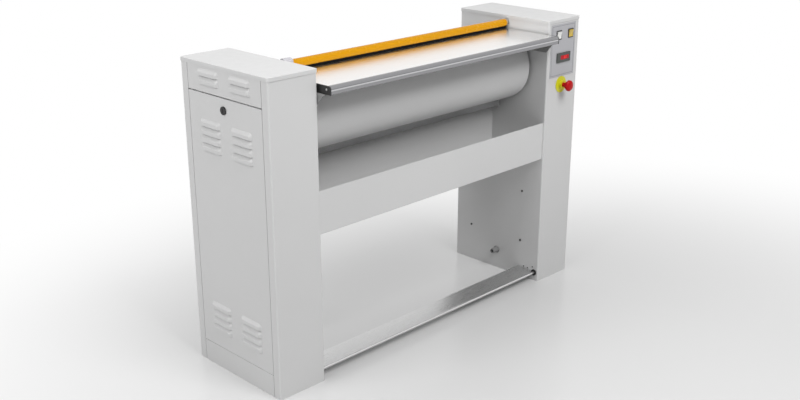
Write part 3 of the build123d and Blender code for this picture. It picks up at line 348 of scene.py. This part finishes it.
def prism(mesh, outline, y_near, y_far):
    """Adds a prism along Y from an outline of (x, z) points."""
    near = [mesh.verts.new((x, y_near, z)) for x, z in outline]
    far = [mesh.verts.new((x, y_far, z)) for x, z in outline]
    mesh.faces.new(near)
    mesh.faces.new(far[::-1])
    for n in range(len(outline)):
        m = (n + 1) % len(outline)
        mesh.faces.new((near[n], far[n], far[m], near[m]))


# ---------------------------------------------------------------- stage
FLOOR_SIZE = 60.0  # from the middle to an edge
FADE_FROM = (0.0, -0.8, 0.0)  # the floor turns white between two distances from here
FADE_START, FADE_END = 0.7, 2.6
CAMERA_AT = (-2.4478, -2.4232)
CAMERA_TURN, CAMERA_DROP = -45.044, 19.566  # degrees about Z, and below the horizon
SENSOR_WIDTH = 36.0
SKY_LOW, SKY_HIGH = 0.08, 0.55  # strength at the horizon and overhead
SUN_FROM, SUN_LIGHT, SUN_SPREAD = (0.1, 0.35, 1.0), 0.35, 50.0
LAMP_AIM = (0.0, 0.0, 0.6)
SOFTBOXES = (  # name, place, side, watts
    ("front_softbox", (-0.2, -3.2, 4.1), 2.2, 160.0),
    ("side_softbox", (-3.9, 0.2, 2.9), 2.4, 85.0),
)


def floor_material():
    """A pale, half glossy floor that keeps the shadow and fades to white farther out."""
    f = Finish("studio_floor", (0.62, 0.62, 0.62), roughness=0.22, specular=0.35)
    f.shade(f.noise(0.8), 0.01)
    paths = f.add("ShaderNodeLightPath")
    seen = f.combine(paths.outputs["Is Camera Ray"], paths.outputs["Is Glossy Ray"], "MAXIMUM")
    away = f.add("ShaderNodeVectorMath", operation="DISTANCE")
    f.link(f.coordinates.outputs["Object"], away.inputs[0])
    away.inputs[1].default_value = FADE_FROM
    fade = f.add("ShaderNodeMapRange", interpolation_type="SMOOTHSTEP")
    fade.inputs["From Min"].default_value = FADE_START
    fade.inputs["From Max"].default_value = FADE_END
    f.link(away.outputs["Value"], fade.inputs["Value"])
    white = f.add("ShaderNodeEmission")
    mix = f.add("ShaderNodeMixShader")
    f.link(f.combine(seen, fade.outputs["Result"]), mix.inputs["Fac"])
    f.link(f.shader.outputs["BSDF"], mix.inputs[1])
    f.link(white.outputs["Emission"], mix.inputs[2])
    f.link(mix.outputs["Shader"], f.tree.nodes["Material Output"].inputs["Surface"])
    return f.material


class IRONER_OT_stage(Operator):
    """Build the floor, the lights, the world and the camera"""
    bl_idname = "ironer.stage"
    bl_label = "Stage"

    def execute(self, context):
        scene = context.scene
        mesh = bmesh.new()
        bmesh.ops.create_grid(mesh, x_segments=1, y_segments=1, size=FLOOR_SIZE)
        data = bpy.data.meshes.new("floor")
        mesh.to_mesh(data)
        mesh.free()
        data.materials.append(floor_material())
        floor = bpy.data.objects.new("floor", data)
        scene.collection.objects.link(floor)

        overhead = bpy.data.lights.new("overhead", "SUN")
        overhead.energy = SUN_LIGHT
        overhead.angle = radians(SUN_SPREAD)
        self.hang(overhead, SUN_FROM, (0.0, 0.0, 0.0))
        for name, place, side, watts in SOFTBOXES:
            lamp = bpy.data.lights.new(name, "AREA")
            lamp.size = side
            lamp.energy = watts
            self.hang(lamp, place, LAMP_AIM)

        world = bpy.data.worlds.new("studio")
        world.use_nodes = True
        tree = world.node_tree
        direction = tree.nodes.new("ShaderNodeTexCoord")
        height = tree.nodes.new("ShaderNodeSeparateXYZ")
        tree.links.new(direction.outputs["Generated"], height.inputs["Vector"])
        sky = tree.nodes.new("ShaderNodeMapRange")
        sky.inputs["To Min"].default_value = SKY_LOW
        sky.inputs["To Max"].default_value = SKY_HIGH
        tree.links.new(height.outputs["Z"], sky.inputs["Value"])
        paths = tree.nodes.new("ShaderNodeLightPath")
        seen = tree.nodes.new("ShaderNodeMath")
        seen.operation = "MAXIMUM"
        tree.links.new(paths.outputs["Is Camera Ray"], seen.inputs[0])
        tree.links.new(paths.outputs["Is Glossy Ray"], seen.inputs[1])
        strength = tree.nodes.new("ShaderNodeMix")
        tree.links.new(seen.outputs["Value"], strength.inputs["Factor"])
        tree.links.new(sky.outputs["Result"], strength.inputs["A"])
        strength.inputs["B"].default_value = 1.0
        tree.links.new(strength.outputs["Result"], tree.nodes["Background"].inputs["Strength"])
        tree.nodes["Background"].inputs["Color"].default_value = (1.0, 1.0, 1.0, 1.0)
        scene.world = world

        camera = bpy.data.cameras.new("camera")
        camera.lens = scene.ironer_sizes.lens
        camera.sensor_width = SENSOR_WIDTH
        camera.clip_start = 0.01
        holder = bpy.data.objects.new("camera", camera)
        holder.location = (*CAMERA_AT, scene.ironer_sizes.camera_height)
        holder.rotation_euler = (radians(90 - CAMERA_DROP), 0.0, radians(CAMERA_TURN))
        scene.collection.objects.link(holder)
        scene.camera = holder
        scene.view_settings.view_transform = "Standard"
        return {"FINISHED"}

    def hang(self, lamp, place, aim):
        """Puts a lamp at a place, turned to what it lights."""
        holder = bpy.data.objects.new(lamp.name, lamp)
        holder.location = place
        holder.rotation_euler = (Vector(aim) - Vector(place)).to_track_quat("-Z", "Y").to_euler()
        bpy.context.scene.collection.objects.link(holder)


# ---------------------------------------------------------------- cabinets
class IRONER_OT_cabinets(Operator):
    """Finish the cabinets, their doors, locks and fittings"""
    bl_idname = "ironer.cabinets"
    bl_label = "Cabinets"

    def execute(self, context):
        colours = context.scene.ironer_colours
        coat = powder_coat("cabinet_coat", colours.cabinet)
        dress(coat, *[side + part for side in ("left_", "right_")
                      for part in ("casing", "cap", "band", "door", "base")], "rear_cover")
        dress(moulded("lock_nylon", (0.004, 0.004, 0.005), 0.5), "left_lock", "right_lock")
        dress(moulded("gland_nylon", (0.22, 0.22, 0.22), 0.4), "cable_gland")
        dress(turned("screw_steel", (0.10, 0.10, 0.10), 0.4), "wall_screws")
        dress(powder_coat("tray_coat", colours.tray), "tray")
        return {"FINISHED"}


# ---------------------------------------------------------------- roll
ROLL_TURNS, ROLL_LENGTHS, ROUND_STEPS = 192, 96, 6  # steps round the roll, along it, on its edge
HEM_TUCK = 0.002  # how far the hem's inner edge is tucked in along the roll
HEM_LIFT = 0.003  # how far over the tube the tuck begins
HEM_CLEAR = 0.0005  # gap between the tucked edge and the tube
HEM_FLAT = 0.001  # least flat cloth inside the rounded edge
FELT_WAVES = (  # height, waves along X, waves round the roll, start
    (1.0, 7.1, 2, 0.0),
    (0.6, 23.0, -3, 1.0),
    (0.5, 11.0, 5, 0.0),
)
FELT_MIDDLE, FELT_SWING = 0.5, 0.24  # keep the waves between none and their full depth
FELT_FROM = 0.004  # the waves start this far over the tube
PLEAT_DEPTH = 0.0012


class IRONER_OT_roll(Operator):
    """Build the padded roll's cloth and finish the roll's metal"""
    bl_idname = "ironer.roll"
    bl_label = "Roll"

    def execute(self, context):
        sizes = context.scene.ironer_sizes
        low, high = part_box("roll_padding")
        tube_low, tube_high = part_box("roll_tube")
        centre_y, centre_z = (low.y + high.y) / 2, (low.z + high.z) / 2
        outer, inner = (high.z - low.z) / 2, (tube_high.z - tube_low.z) / 2
        round_r, hem = sizes.roll_round, sizes.roll_hem

        # Profile from the left end's hem over the cylinder to the right end's hem
        profile = [(low.x + HEM_TUCK, inner + HEM_CLEAR), (low.x, inner + HEM_LIFT),
                   (low.x, outer - max(hem, round_r + HEM_FLAT))]
        for n in range(ROUND_STEPS + 1):
            a = radians(90 * n / ROUND_STEPS)
            profile.append((low.x + round_r * (1 - sin(a)),
                            outer - round_r * (1 - cos(pi / 2 - a))))
        left_end = list(profile)
        span = high.x - low.x - 2 * round_r
        profile += [(low.x + round_r + span * n / ROLL_LENGTHS, outer)
                    for n in range(1, ROLL_LENGTHS)]
        profile += [(low.x + high.x - x, r) for x, r in reversed(left_end)]

        def felt(x, angle, r):
            """Radius of a point, with the felt's soft waves."""
            wave = sum(height * sin(along * x + around * angle + start)
                       for height, along, around, start in FELT_WAVES)
            depth = sizes.roll_wave * (FELT_MIDDLE + FELT_SWING * wave)
            return r - depth * (r > inner + FELT_FROM)

        def pleat(x, angle, r):
            """How far a point of the drawn-in hem stands out along X."""
            drawn = max(0.0, min(1.0, (outer - round_r - r) / (outer - round_r - inner)))
            return PLEAT_DEPTH * drawn * sin(sizes.pleats * angle) * (1 if x > 0 else -1)

        mesh = bmesh.new()
        rings = []
        for x, r in profile:
            ring = []
            for n in range(ROLL_TURNS):
                angle = 2 * pi * n / ROLL_TURNS
                level = felt(x, angle, r)
                ring.append((x - pleat(x, angle, r), centre_y + level * cos(angle),
                             centre_z + level * sin(angle)))
            rings.append(ring)
        ring_surface(mesh, rings)
        uv = mesh.loops.layers.uv.new("cloth")
        for face in mesh.faces:
            angles = [atan2(corner.vert.co.z - centre_z, corner.vert.co.y - centre_y)
                      for corner in face.loops]
            for corner, angle in zip(face.loops, angles):
                if angle - angles[0] > pi:
                    angle -= 2 * pi
                elif angles[0] - angle > pi:
                    angle += 2 * pi
                corner[uv].uv = (corner.vert.co.x, angle * outer)
        cloth = woven("roll_cloth", context.scene.ironer_colours.cloth, sizes.weave_pitch)
        cover = piece("roll_cover", mesh, cloth, "roll", smooth_angle=60)
        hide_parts("roll_padding")

        dress(turned("roll_steel", (0.50, 0.50, 0.51)), "roll_tube", "roll_ends")
        dress(turned("sprocket_steel", (0.36, 0.36, 0.37), 0.34), "roll_sprocket",
              "motor_sprocket")
        dress(cast("bearing_casting", (0.22, 0.23, 0.24)), "roll_bearings")
        dress(turned("chain_steel", (0.22, 0.21, 0.20), 0.4), "drive_chain")
        dress(cast("motor_enamel", (0.12, 0.17, 0.24)), "gearmotor")
        dress(zinc("bracket_zinc", (0.60, 0.60, 0.58)), "motor_bracket")
        return {"FINISHED"}


# ---------------------------------------------------------------- chest
class IRONER_OT_chest(Operator):
    """Finish the heated chest and what moves it"""
    bl_idname = "ironer.chest"
    bl_label = "Chest"

    def execute(self, context):
        dress(brushed("chest_metal", (0.70, 0.70, 0.71), 0.22), "chest_plate")
        dress(powder_coat("cover_coat", (0.60, 0.60, 0.60)), "chest_cover", "chest_ends")
        dress(turned("element_steel", (0.30, 0.27, 0.25), 0.45), "heating_elements")
        dress(turned("lever_steel", (0.48, 0.48, 0.49)), "chest_shafts", "chest_lever",
              "actuator_rod")
        dress(turned("bush_bronze", (0.50, 0.32, 0.13), 0.35), "chest_bushes")
        dress(moulded("actuator_case", (0.10, 0.10, 0.11), 0.5), "chest_actuator")
        return {"FINISHED"}


# ---------------------------------------------------------------- feed side
NOSE_HIGHLIGHT_DROP, NOSE_HIGHLIGHT_HALF = 0.0125, 0.0035  # the painted highlight along the nose's rib: drop from the top, half height
# The nose's own colour, and the lighter colour painted along its rib as a highlight
NOSE_DARK, NOSE_HIGHLIGHT = (0.30, 0.30, 0.31), (0.60, 0.60, 0.61)
TONGUE, TONGUE_SHEET = 0.0264, 0.0006  # reach behind the feed table, thickness
LIP = (  # section of the guard's black rubber lip in Y and Z, from the bar's centre line; its black also stands in for the shade in the gap under the bar
    (-0.0098, -0.0092), (-0.0106, -0.0178), (-0.0096, -0.0188),
    (-0.0030, -0.0188), (-0.0020, -0.0178), (-0.0020, -0.0130),
)


class IRONER_OT_feed(Operator):
    """Finish the feed table, its nose and the finger guard"""
    bl_idname = "ironer.feed"
    bl_label = "Feed Table and Guard"

    def execute(self, context):
        colours = context.scene.ironer_colours
        steel = brushed("table_steel", colours.table, 0.24, 0.04, 0.00001)
        dress(steel, "feed_table")
        self.tongue(steel)
        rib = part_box("table_nose")[1].z - NOSE_HIGHLIGHT_DROP
        # The nose gets a painted highlight in a band along its rib
        dress(aluminium_with_painted_highlight("nose_aluminium", NOSE_DARK, NOSE_HIGHLIGHT, rib, NOSE_HIGHLIGHT_HALF), "table_nose")
        dress(moulded("end_cap_nylon", (0.012, 0.012, 0.012), 0.4), "nose_end_caps")
        dress(turned("cap_screw_steel", (0.75, 0.75, 0.74), 0.25), "end_cap_screws")
        # Painted shade: the brackets' pale paint is darkened to the tone it shows in the shade
        # under the table
        dress(powder_coat("bracket_shaded_coat", (0.26, 0.26, 0.26), 0.5), "table_brackets")
        dress(moulded("end_piece_grey", (0.50, 0.49, 0.52), 0.4), "guard_end")
        dress(gloss_paint("guard_paint", colours.guard), "guard_bar")
        dress(zinc("arm_zinc", (0.62, 0.62, 0.60)), "guard_arms", "foot_arms")
        dress(turned("pin_steel", (0.55, 0.55, 0.56)), "guard_pins", "foot_pivots")
        dress(brushed("foot_bar_steel", (0.64, 0.64, 0.64), 0.28, 0.02, 0.00001), "foot_bar")
        dress(moulded("ring_rubber", (0.012, 0.012, 0.012), 0.6), "foot_bar_rings")
        self.lip()
        return {"FINISHED"}

    def tongue(self, steel):
        """The thin strip that leads the linen from the table's rear edge over the roll."""
        low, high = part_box("feed_table")
        mesh = bmesh.new()
        block(mesh, (low.x, high.y, high.z - TONGUE_SHEET), (high.x, high.y + TONGUE, high.z))
        piece("table_tongue", mesh, steel, "root")

    def lip(self):
        """The black rubber lip under the guard bar, just clear of the roll; its black also stands
        in for the shade in the gap there.
        """
        low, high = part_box("guard_bar")
        centre_y, centre_z = (low.y + high.y) / 2, (low.z + high.z) / 2
        mesh = bmesh.new()
        for row in ring_surface(mesh, [[(x, centre_y + y, centre_z + z) for y, z in LIP]
                                       for x in (low.x, high.x)]):
            mesh.faces.new(row)
        # Near-black rubber: partly a real lip, partly painted shade for the gap between bar and
        # roll
        rubber = moulded("lip_rubber_and_shade", (0.003, 0.003, 0.003), 0.7, 0.0, 0.08)
        piece("guard_lip_and_shade", mesh, rubber, "guard")


# ---------------------------------------------------------------- controls
SEGMENTS = {  # corners of a digit that each segment joins, on a grid of 2 by 3
    "a": ((0, 2), (1, 2)), "b": ((1, 1), (1, 2)), "c": ((1, 0), (1, 1)), "d": ((0, 0), (1, 0)),
    "e": ((0, 0), (0, 1)), "f": ((0, 1), (0, 2)), "g": ((0, 1), (1, 1))}
DIGITS = {"1": "bc", "8": "abcdefg", "0": "abcdef"}
READING = "180"
DIGIT_HEIGHT, DIGIT_WIDTH, DIGIT_STROKE = 0.62, 0.5, 0.11  # of the display, the digit, the digit
DIGIT_PITCH = 1.62  # of a digit's width
DIGIT_GAP = 0.25  # between a segment and its corner, of the stroke
DIGIT_FILM = 0.0001
BORDER_INSET, BORDER_LINE, BORDER_FILM = 0.006, 0.0011, 0.00015


class IRONER_OT_controls(Operator):
    """Finish the control plate, its instruments and the emergency stop, with the plate's border"""
    bl_idname = "ironer.controls"
    bl_label = "Controls"

    def execute(self, context):
        colours = context.scene.ironer_colours
        dress(powder_coat("panel_paint", colours.panel, 0.36), "control_plate")
        dress(moulded("meter_case", (0.035, 0.042, 0.038), 0.42, 0.2), "thermostat")
        dress(moulded("display_window", (0.45, 0.004, 0.012), 0.3, 0.0, 0.2), "thermostat_display")
        dress(moulded("switch_frame", (0.012, 0.012, 0.013), 0.38, 0.2), "rocker_frames")
        dress(moulded("yellow_key", colours.yellow_key, 0.25, 0.5), "yellow_rocker")
        dress(moulded("white_key", colours.white_key, 0.25, 0.5), "white_rocker")
        dress(moulded("stop_yellow", colours.stop_disc, 0.45), "stop_disc", "stop_body")
        dress(moulded("stop_red", colours.stop_head, 0.42, 0.0, 0.2), "stop_head", "stop_stem")
        self.border()
        self.digits()
        return {"FINISHED"}

    def border(self):
        """A printed line round the plate, a film thick."""
        low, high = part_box("control_plate")
        mesh = bmesh.new()
        x0, x1 = low.x + BORDER_INSET, high.x - BORDER_INSET
        z0, z1 = low.z + BORDER_INSET, high.z - BORDER_INSET
        near, line = low.y - BORDER_FILM, BORDER_LINE
        for a, b in (((x0, z0), (x1, z0 + line)),
                     ((x0, z1 - line), (x1, z1)),
                     ((x0, z0 + line), (x0 + line, z1 - line)),
                     ((x1 - line, z0 + line), (x1, z1 - line))):
            block(mesh, (a[0], near, a[1]), (b[0], low.y, b[1]))
        ink = moulded("border_ink", (0.13, 0.13, 0.15), 0.5)
        piece("plate_border", mesh, ink, "root")

    def digits(self):
        """A temperature in lit seven-segment digits on the display."""
        low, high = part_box("thermostat_display")
        tall = (high.z - low.z) * DIGIT_HEIGHT
        wide, stroke = tall * DIGIT_WIDTH, tall * DIGIT_STROKE
        pitch = wide * DIGIT_PITCH
        centre_x, centre_z = (low.x + high.x) / 2, (low.z + high.z) / 2
        mesh = bmesh.new()
        for n, digit in enumerate(READING):
            left = centre_x + (n - 1) * pitch - wide / 2
            for name in DIGITS[digit]:
                (c0, r0), (c1, r1) = SEGMENTS[name]
                a = Vector((left + c0 * wide, centre_z + (r0 - 1) * tall / 2))
                b = Vector((left + c1 * wide, centre_z + (r1 - 1) * tall / 2))
                along = (b - a).normalized()
                across = Vector((-along.y, along.x)) * stroke / 2
                a, b = a + along * stroke * DIGIT_GAP, b - along * stroke * DIGIT_GAP
                tip = along * stroke / 2
                outline = [a, a + tip + across, b - tip + across,
                           b, b - tip - across, a + tip - across]
                prism(mesh, [tuple(p) for p in outline], low.y - DIGIT_FILM, low.y)
        lit = glowing("lit_segment", (0.9, 0.03, 0.02), 0.5)
        piece("display_digits", mesh, lit, "root")


class IRONER_OT_electrics(Operator):
    """Finish the electrical parts inside the right cabinet and the foot switch"""
    bl_idname = "ironer.electrics"
    bl_label = "Electrics"

    def execute(self, context):
        dress(zinc("plate_zinc", (0.60, 0.60, 0.59)), "electrics_plate")
        dress(moulded("contactor_case", (0.42, 0.43, 0.42), 0.55), "contactors")
        dress(moulded("switch_case", (0.10, 0.10, 0.11), 0.5), "foot_switch")
        return {"FINISHED"}


class IRONER_PT_panel(Panel):
    """Steps and settings of the flatwork ironer"""
    bl_idname = "IRONER_PT_panel"
    bl_label = "Flatwork Ironer"
    bl_space_type = "VIEW_3D"
    bl_region_type = "UI"
    bl_category = "Ironer"

    def draw(self, context):
        layout = self.layout
        for operator in OPERATORS:
            layout.operator(operator.bl_idname)
        for settings in (context.scene.ironer_colours, context.scene.ironer_sizes):
            box = layout.box()
            for name in settings.__annotations__:
                box.prop(settings, name)


OPERATORS = (IRONER_OT_stage, IRONER_OT_cabinets, IRONER_OT_roll, IRONER_OT_chest, IRONER_OT_feed,
             IRONER_OT_controls, IRONER_OT_electrics)
CLASSES = (IronerColours, IronerSizes, *OPERATORS, IRONER_PT_panel)


def register():
    for cls in CLASSES:
        bpy.utils.register_class(cls)
    bpy.types.Scene.ironer_colours = PointerProperty(type=IronerColours)
    bpy.types.Scene.ironer_sizes = PointerProperty(type=IronerSizes)


def unregister():
    del bpy.types.Scene.ironer_sizes
    del bpy.types.Scene.ironer_colours
    for cls in reversed(CLASSES):
        bpy.utils.unregister_class(cls)


def main():
    register()
    for operator in OPERATORS:
        group, name = operator.bl_idname.split(".")
        getattr(getattr(bpy.ops, group), name)()


if __name__ == "__main__":
    main()
